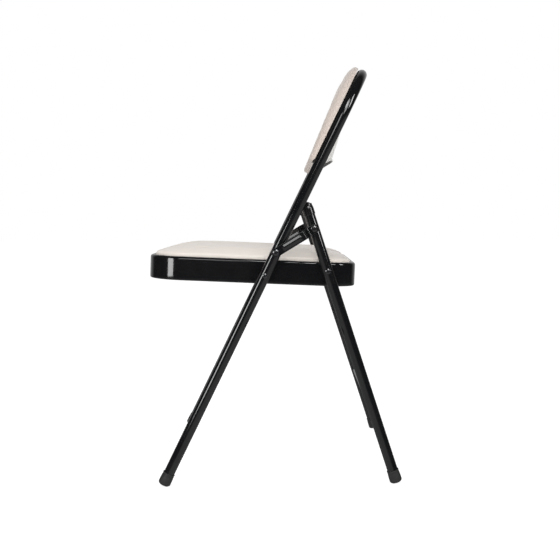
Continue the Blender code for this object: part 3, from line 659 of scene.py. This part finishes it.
def plan_ring(left, front, back, front_r, back_r, z):
    """Rounded rectangle in plan, as a ring at height z."""
    corners = ((left - front_r, front + front_r, front_r, -90.0),
               (left - back_r, back - back_r, back_r, 0.0),
               (back_r - left, back - back_r, back_r, 90.0),
               (front_r - left, front + front_r, front_r, 180.0))
    points = []
    for center_x, center_y, radius, start in corners:
        points += arc(center_x, center_y, radius, start, start + 90.0, CORNER_STEPS)
    return [Vector((x, y, z)) for x, y in points]


def pan_ring(inset, z):
    """Outline of the pan drawn in by inset."""
    return plan_ring(PAN_HIGH.x - inset, PAN_LOW.y + inset, PAN_HIGH.y - inset,
                     PAN_CORNER_FRONT - inset, PAN_CORNER_BACK - inset, z)


def pan_profile():
    """(inset, height) around the sheet: deck underside, inside, lip, skirt, shoulder, rim, deck."""
    bottom, top = PAN_LOW.z, PAN_HIGH.z
    inner = [(DECK_INSET + PAN_SHEET, top - DECK_DEPTH - PAN_SHEET)]
    inner += [(PAN_SHEET + PAN_SHOULDER, top - PAN_SHEET)]
    inner += [(PAN_SHEET + (PAN_SHOULDER - PAN_SHEET) * (1.0 - math.cos(math.radians(a))),
               top - PAN_SHOULDER + (PAN_SHOULDER - PAN_SHEET) * math.sin(math.radians(a)))
              for a in (60.0, 30.0, 0.0)]
    inner += [(PAN_SHEET, bottom + PAN_LOWER_ROUND), (PAN_LOWER_ROUND, bottom + PAN_SHEET)]
    inner += [(PAN_LIP, bottom + PAN_SHEET), (PAN_LIP + 0.0003, bottom + PAN_SHEET / 2)]
    inner += [(PAN_LIP, bottom)]
    outer = [(PAN_LOWER_ROUND - PAN_LOWER_ROUND * math.sin(math.radians(a)),
              bottom + PAN_LOWER_ROUND * (1.0 - math.cos(math.radians(a))))
             for a in (0, 20, 40, 60, 80, 90)]
    heights = [bottom + PAN_LOWER_ROUND + (top - PAN_SHOULDER - bottom - PAN_LOWER_ROUND) * i / 6
               for i in range(1, 6)]
    outer += [(0.0, z) for z in heights]
    outer += [(PAN_SHOULDER * (1.0 - math.cos(math.radians(a))),
               top - PAN_SHOULDER + PAN_SHOULDER * math.sin(math.radians(a))) for a in range(0, 91, 9)]
    outer += [(RIM_INSET, top), (RIM_INSET + 0.0006, top - 0.0006)]
    outer += [(DECK_INSET - 0.0004, top - DECK_DEPTH + 0.0008), (DECK_INSET, top - DECK_DEPTH)]
    return inner + outer


def make_pan():
    rings = [pan_ring(inset, z) for inset, z in pan_profile()]
    add_piece("pan_shell", loft(rings, cap_first=True, cap_last=True), SEAT, PAINT, "seat",
              ["seat_pan"])


# ---------------------------------------------------------------- backrest sheets

BACK_LOW_S = 0.6280             # lower corners, along the frame's lean
BACK_LOW_ROUND = 0.0140
BACK_ARCH_RISE = 0.0297
BACK_ARCH_HALF_W = 0.1850
BACK_DIP = 0.0310
BACK_DIP_LOW = 0.6110
BACK_DIP_TOP = 0.8060
BACK_SHEET = 0.0015
BACK_ROOM = 0.0012
COVER_SHEET = 0.0018
LIP_REACH = 0.0080
LIP_DEPTH = 0.0048
BACK_HALF_W = span("back_panel", FRONT)[1].x
TUBE_R = (span("front_frame_tube", FRONT)[1].y - span("front_frame_tube", FRONT)[0].y) / 2
FRONT_X = span("front_frame_tube", FRONT)[1].x - TUBE_R
BACK_CORNER_X = FRONT_X - BEND_R
BACK_CORNER_S = span("front_frame_tube", FRONT)[1].z - TUBE_R - BEND_R
SKIN_GAP = 0.0003


def back_bottom(x):
    """Lower edge of the backrest, arched to clear the folded seat."""
    across = min(abs(x) / BACK_ARCH_HALF_W, 1.0)
    beyond = min(max(abs(x) - BACK_HALF_W + BACK_LOW_ROUND, 0.0), 0.97 * BACK_LOW_ROUND)
    corner = BACK_LOW_ROUND - math.sqrt(BACK_LOW_ROUND ** 2 - beyond ** 2)
    return BACK_LOW_S + BACK_ARCH_RISE * (1.0 - across ** 2.6) + corner


def back_top(x, half_w):
    """Upper edge, concentric with the bends of the tube."""
    radius = half_w - BACK_CORNER_X
    beyond = max(abs(x) - BACK_CORNER_X, 0.0)
    return BACK_CORNER_S + math.sqrt(max(radius ** 2 - beyond ** 2, 0.0))


def back_surface(x, s):
    """How far the rear face of the steel panel lies in front of the plane of the tubes."""
    along = (s - BACK_DIP_LOW) / (BACK_DIP_TOP - BACK_DIP_LOW)
    dip = BACK_DIP * (1.0 - min(max(along, 0.0), 1.0) ** 1.6)
    clear_r = BEND_R - TUBE_R - 0.002
    up = max(s - BACK_CORNER_S, 0.0)
    half_w = BACK_CORNER_X + math.sqrt(max(clear_r ** 2 - up ** 2, 0.0))
    across = min(abs(x) / half_w, 1.0)
    return TUBE_R + SKIN_GAP - dip * (1.0 - across ** 2)


def back_grid(half_w, trim, columns, rows, forward, crowding=1.0, even=True):
    """Open sheet over the backrest's outline; forward(x, s) is its place in front of the tubes.

    Crowding over 1 draws the rows together at the lower edge; rows that aren't even crowd at both edges.
    """
    bm = bmesh.new()
    bmesh.ops.create_grid(bm, x_segments=columns, y_segments=rows, size=1.0)
    for vert in bm.verts:
        x = half_w * math.sin(vert.co.x * math.pi / 2)
        low = back_bottom(x) + trim
        high = back_top(x, half_w) - trim
        row = vert.co.y if even else math.sin(vert.co.y * math.pi / 2)
        s = low + (high - low) * ((row + 1.0) / 2) ** crowding
        vert.co = (x, -forward(x, s), s)
    return bm


def thicken(obj, thickness, rounding):
    """Give an open sheet its thickness, away from the sitter, and round its edges."""
    if obj.data.polygons[0].normal.y > 0.0:
        obj.data.flip_normals()
    sheet = obj.modifiers.new("sheet", "SOLIDIFY")
    sheet.thickness = thickness
    sheet.offset = -1.0
    sheet.use_even_offset = True
    edge = obj.modifiers.new("edge", "BEVEL")
    edge.width = rounding
    edge.segments = 3
    edge.limit_method = "ANGLE"
    edge.angle_limit = math.radians(50.0)


PANEL_TRIM = 0.0090             # of the plate at the sides and top, where the pad wraps round it
PAD_REAR_GAP = 0.0006


def make_back_panel():
    def front(x, s):
        return back_surface(x, s) + BACK_SHEET
    bm = back_grid(BACK_HALF_W - PANEL_TRIM, 0.0, 72, 30, front)
    panel = add_piece("back_plate", bm, FRONT, PAINT, "frame", ["back_panel"])
    thicken(panel, BACK_SHEET, 0.0004)


def cover_surface(x, s):
    """Front face of the rear cover, with a lip turned back along its lower edge."""
    lip = max(1.0 - (s - back_bottom(x)) / LIP_REACH, 0.0) ** 2 * LIP_DEPTH
    return back_surface(x, s) - BACK_ROOM - lip


def make_back_cover():
    half_w = span("back_cover", FRONT)[1].x
    bm = back_grid(half_w, 0.0003, 72, 44, cover_surface, crowding=1.8)
    # Painted shade: the front face, seen under the turned-back lip, takes the near-black cloth. The rear face and
    # rim take the pale cover cloth.
    cover = add_piece("rear_cover", bm, FRONT, PAINTED_SHADE_CLOTH, "frame", ["back_cover"])
    cover.data.materials.append(COVER_FABRIC)
    thicken(cover, COVER_SHEET, 0.0006)
    cover.modifiers["sheet"].material_offset = 1
    cover.modifiers["sheet"].material_offset_rim = 1


# ---------------------------------------------------------------- padded pieces

VOXEL = 0.0045
PRESSURE = 4.0
SIM_FRAMES = 20


def remeshed(obj):
    """Replace an object's mesh with an even voxel remesh of it."""
    remesh = obj.modifiers.new("even", "REMESH")
    remesh.mode = "VOXEL"
    remesh.voxel_size = VOXEL
    evaluated = obj.evaluated_get(bpy.context.evaluated_depsgraph_get())
    mesh = bpy.data.meshes.new_from_object(evaluated)
    obj.modifiers.clear()
    obj.data = mesh


def inflate(obj, held, limit):
    """Blow the cover up from inside.

    held(point) is 1 where it is fixed, limit caps each move, and only the part of it outwards is kept.
    """
    start = [(vert.co.copy(), vert.normal.copy()) for vert in obj.data.vertices]
    group = obj.vertex_groups.new(name="held")
    for vert in obj.data.vertices:
        group.add([vert.index], held(vert.co), "REPLACE")
    cloth = obj.modifiers.new("cloth", "CLOTH")
    cloth.settings.quality = 6
    cloth.settings.mass = 0.25
    cloth.settings.tension_stiffness = 12.0
    cloth.settings.compression_stiffness = 12.0
    cloth.settings.shear_stiffness = 6.0
    cloth.settings.bending_stiffness = 0.8
    cloth.settings.use_pressure = True
    cloth.settings.uniform_pressure_force = PRESSURE
    cloth.settings.vertex_group_mass = "held"
    cloth.settings.effector_weights.gravity = 0.0
    cloth.collision_settings.use_collision = False
    for number in range(1, SIM_FRAMES + 1):
        bpy.context.scene.frame_set(number)
    evaluated = obj.evaluated_get(bpy.context.evaluated_depsgraph_get())
    blown = [vert.co.copy() for vert in evaluated.data.vertices]
    obj.modifiers.remove(cloth)
    bpy.context.scene.frame_set(1)
    for vert, (old, normal), new in zip(obj.data.vertices, start, blown):
        move = min(max((new - old).dot(normal), 0.0), limit)
        vert.co = old + move * (1.0 - held(old)) * normal


def soften(obj, name):
    """Smooth shading and one level of subdivision."""
    obj.data.name = name
    obj.data.shade_smooth()
    smooth = obj.modifiers.new("smooth", "SUBSURF")
    smooth.levels = 1
    smooth.render_levels = 1


PAD_INSET = 0.0088
PAD_HEIGHT = 0.0180             # crown above the rim of the pan
PAD_SWELL = 0.0020              # left for the simulation
PAD_MOVE = 0.0028               # most that the simulation may move the seat pad's cover
PAD_EDGE_HEIGHT = 0.0030
PAD_DRAW_SIDE = 0.055           # from the pad's edge in to its crown
PAD_DRAW_FRONT = 0.060
PAD_DRAW_BACK = 0.048
PAD_PROFILE = ((0.05, 0.0066), (0.18, 0.0102), (0.42, 0.0145), (0.70, 0.0172), (1.0, PAD_HEIGHT))


def seat_pad_ring(step, height):
    """Outline of the pad a share of the way in from its edge; the front rolls over longest."""
    return plan_ring(PAN_HIGH.x - PAD_INSET - PAD_DRAW_SIDE * step,
                     PAN_LOW.y + PAD_INSET + PAD_DRAW_FRONT * step,
                     PAN_HIGH.y - PAD_INSET - PAD_DRAW_BACK * step ** 0.75,
                     PAN_CORNER_FRONT - PAD_INSET, PAN_CORNER_BACK - PAD_INSET, PAN_HIGH.z + height)


def make_seat_cushion():
    base = span("seat_pad", SEAT)[0].z
    swell = PAD_SWELL
    rings = [seat_pad_ring(0.0, base - PAN_HIGH.z), seat_pad_ring(0.0, PAD_EDGE_HEIGHT)]
    for step, height in PAD_PROFILE:
        rings.append(seat_pad_ring(step, height - swell * smooth_step(height, 0.006, 0.015)))
    pad = add_piece("seat_cushion", loft(rings, cap_first=True, cap_last=True), SEAT, SEAT_FABRIC,
                    "seat", ["seat_pad"])
    remeshed(pad)
    tuck = PAN_HIGH.z + 0.0015

    def held(point):
        return 1.0 - smooth_step(point.z, tuck, tuck + 0.004)

    inflate(pad, held, PAD_MOVE)
    soften(pad, "seat_cushion")


BACK_PAD_THICK = 0.0050         # at the lower sides
BACK_PAD_GROWTH = 0.0083        # added on the way up, all of it from BACK_PAD_FULL_S
BACK_PAD_FULL_S = 0.76
BACK_PAD_CROWN = 0.0040         # more in the middle
BACK_PAD_SIDE_ROUND = 0.016
BACK_PAD_TOP_ROUND = 0.056
BACK_PAD_LOW_ROUND = 0.007
BACK_PAD_SWELL = 0.0006         # left for the simulation
BACK_PAD_MOVE = 0.0030


def edge_round(distance, reach):
    """0 at an edge, 1 once distance exceeds reach, along a quarter ellipse."""
    inside = min(max(distance / reach, 0.0), 1.0)
    return math.sqrt(1.0 - (1.0 - inside) ** 2)


def back_pad_front(x, s, swell):
    """Front face of the back pad: thin at the lower sides, fuller above and in the middle."""
    along = (s - BACK_DIP_LOW) / (BACK_PAD_FULL_S - BACK_DIP_LOW)
    thick = BACK_PAD_THICK + BACK_PAD_GROWTH * min(max(along, 0.0), 1.0)
    thick += BACK_PAD_CROWN * (1.0 - min(abs(x) / 0.20, 1.0) ** 2) - swell
    edge = edge_round(BACK_HALF_W - abs(x), BACK_PAD_SIDE_ROUND)
    edge *= edge_round(back_top(x, BACK_HALF_W) - s, BACK_PAD_TOP_ROUND)
    edge *= edge_round(s - back_bottom(x), BACK_PAD_LOW_ROUND)
    return back_surface(x, s) + BACK_SHEET + BACK_ROOM + 0.0020 + thick * edge


def make_back_cushion():
    swell = BACK_PAD_SWELL

    def rear(x, s):
        edge = min(BACK_HALF_W - abs(x), back_top(x, BACK_HALF_W) - s)
        wrap = 1.0 - smooth_step(edge, 0.0018, 0.0040)
        return back_surface(x, s) + SKIN_GAP + (BACK_SHEET + PAD_REAR_GAP - SKIN_GAP) * (1.0 - wrap)

    bm = back_grid(BACK_HALF_W, 0.0002, 96, 60, rear, even=False)
    grown = bmesh.ops.extrude_face_region(bm, geom=bm.faces[:])["geom"]
    for item in grown:
        if isinstance(item, bmesh.types.BMVert):
            item.co.y = -back_pad_front(item.co.x, item.co.z, swell)
    # The back pad takes the darker copy of the seat cloth: painted shade.
    pad = add_piece("back_cushion", bm, FRONT, SHADED_BACK_FABRIC, "frame", ["back_pad"])

    def held(point):
        front = -point.y - back_surface(point.x, point.z)
        return 1.0 - smooth_step(front, 0.0045, 0.0085)

    inflate(pad, held, BACK_PAD_MOVE)
    soften(pad, "back_cushion")


# ---------------------------------------------------------------- studio

CAMERA_PLACE = Vector((1.7362, 0.0229, 0.4877))
CAMERA_YAW = -0.0077            # towards the front of the chair
CAMERA_PITCH = 0.0796           # downwards
CAMERA_LENS = 56.12
AMBIENT = 0.45                  # what matt surfaces see all round


def make_camera():
    camera = bpy.data.cameras.new("studio_camera")
    camera.lens = CAMERA_LENS
    camera.sensor_width = 36.0
    camera.clip_start = 0.05
    camera.clip_end = 50.0
    obj = bpy.data.objects.new("studio_camera", camera)
    bpy.context.scene.collection.objects.link(obj)
    look = Vector((-math.cos(CAMERA_YAW) * math.cos(CAMERA_PITCH),
                   math.sin(CAMERA_YAW) * math.cos(CAMERA_PITCH), -math.sin(CAMERA_PITCH)))
    obj.location = CAMERA_PLACE
    obj.rotation_euler = look.to_track_quat("-Z", "Y").to_euler()
    bpy.context.scene.camera = obj


def make_light(name, place, target, width, height, radiance, diffuse=True, glossy=True):
    """Rectangular soft light at a place, facing a target."""
    light = bpy.data.lights.new(name, "AREA")
    light.shape = "RECTANGLE"
    light.size = width
    light.size_y = height
    light.energy = radiance * math.pi * width * height
    obj = bpy.data.objects.new(name, light)
    bpy.context.scene.collection.objects.link(obj)
    obj.location = place
    obj.rotation_euler = (Vector(target) - Vector(place)).to_track_quat("-Z", "Y").to_euler()
    obj.visible_camera = False
    obj.visible_diffuse = diffuse
    obj.visible_glossy = glossy


def make_lights():
    """Lights that only glossy pieces show, and wide soft ones that only matt pieces do."""
    make_light("strip_front", (1.19, -1.16, 0.62), (0.19, -0.10, 0.62), 0.45, 0.72, 9.0, diffuse=False)
    make_light("strip_high", (2.10, -0.45, 1.35), (0.20, 0.05, 0.60), 0.60, 0.60, 5.0, diffuse=False)
    make_light("strip_back", (1.15, 1.85, 1.40), (0.20, 0.08, 0.50), 0.50, 1.00, 11.0, diffuse=False)
    make_light("strip_top", (1.60, 0.22, 1.90), (0.19, 0.05, 0.40), 0.60, 0.60, 10.0, diffuse=False)
    make_light("strip_bend", (1.85, 0.75, 1.55), (0.20, 0.15, 0.65), 0.80, 0.90, 6.0, diffuse=False)
    make_light("key", (3.00, 0.10, 1.00), (0.0, 0.0, 0.45), 2.2, 1.4, 5.0, glossy=False)
    make_light("overhead", (0.3, 0.0, 3.0), (0.0, 0.0, 0.4), 2.6, 2.6, 1.55, glossy=False)


def make_world():
    """White to the eye, grey to matt surfaces; glossy ones see a dark room, its floor and a pale wall."""
    world = bpy.data.worlds.new("studio")
    world.use_nodes = True
    bpy.context.scene.world = world
    tree = world.node_tree
    rays = tree.nodes.new("ShaderNodeLightPath")
    place = tree.nodes.new("ShaderNodeTexCoord")
    parts = tree.nodes.new("ShaderNodeSeparateXYZ")
    tree.links.new(place.outputs["Generated"], parts.inputs[0])

    def put(node, name, value):
        if isinstance(value, bpy.types.NodeSocket):
            tree.links.new(value, node.inputs[name])
        else:
            node.inputs[name].default_value = value

    def spread(value, low, high, to_low, to_high):
        node = tree.nodes.new("ShaderNodeMapRange")
        for name, part in (("Value", value), ("From Min", low), ("From Max", high), ("To Min", to_low),
                           ("To Max", to_high)):
            put(node, name, part)
        return node.outputs["Result"]

    def calculate(operation, first, second):
        node = tree.nodes.new("ShaderNodeMath")
        node.operation = operation
        put(node, 0, first)
        put(node, 1, second)
        return node.outputs[0]

    def choose(share, first, second):
        node = tree.nodes.new("ShaderNodeMix")
        put(node, 0, share)
        put(node, 2, first)
        put(node, 3, second)
        return node.outputs[0]

    ahead = spread(parts.outputs["X"], -0.75, -0.20, 0.30, 1.0)
    floor = calculate("MULTIPLY", spread(parts.outputs["Z"], -0.13, -0.27, 0.0, 0.42), ahead)
    wall = calculate("MULTIPLY", spread(parts.outputs["X"], -0.45, -0.85, 0.0, 0.55),
                     spread(parts.outputs["Z"], -0.30, -0.05, 0.0, 1.0))
    glossy = calculate("ADD", calculate("ADD", floor, wall), 0.012)
    matt = choose(rays.outputs["Is Glossy Ray"], AMBIENT, glossy)
    background = tree.nodes["Background"]
    background.inputs["Color"].default_value = (1.0, 1.0, 1.0, 1.0)
    tree.links.new(choose(rays.outputs["Is Camera Ray"], matt, 1.0), background.inputs["Strength"])



def make_floor():
    bm = bmesh.new()
    bmesh.ops.create_grid(bm, x_segments=1, y_segments=1, size=12.0)
    mesh = bpy.data.meshes.new("studio_floor")
    bm.to_mesh(mesh)
    bm.free()
    floor = bpy.data.objects.new("studio_floor", mesh)
    bpy.context.scene.collection.objects.link(floor)
    n = Nodes("pale_floor")
    color = n.mix(n.noise(2.0), (0.42, 0.42, 0.42), (0.45, 0.45, 0.45))
    n.finish(color, 0.9, n.bump(n.noise(40.0), 0.02, 0.001), Specular_IOR_Level=0.0,
             Emission_Color=(1.0, 1.0, 1.0, 1.0), Emission_Strength=0.84)
    mesh.materials.append(n.material)
    floor.visible_glossy = False


bpy.context.scene.view_settings.view_transform = "Standard"
make_camera()
make_world()
make_lights()
make_floor()

paint_cad_nodes()
make_frame_tube()
make_rear_tubes()
make_welds()
make_feet()
make_caps()
make_rivets()
make_links()
make_pan()
make_back_panel()
make_back_cover()
make_seat_cushion()
make_back_cushion()

bpy.context.view_layer.update()
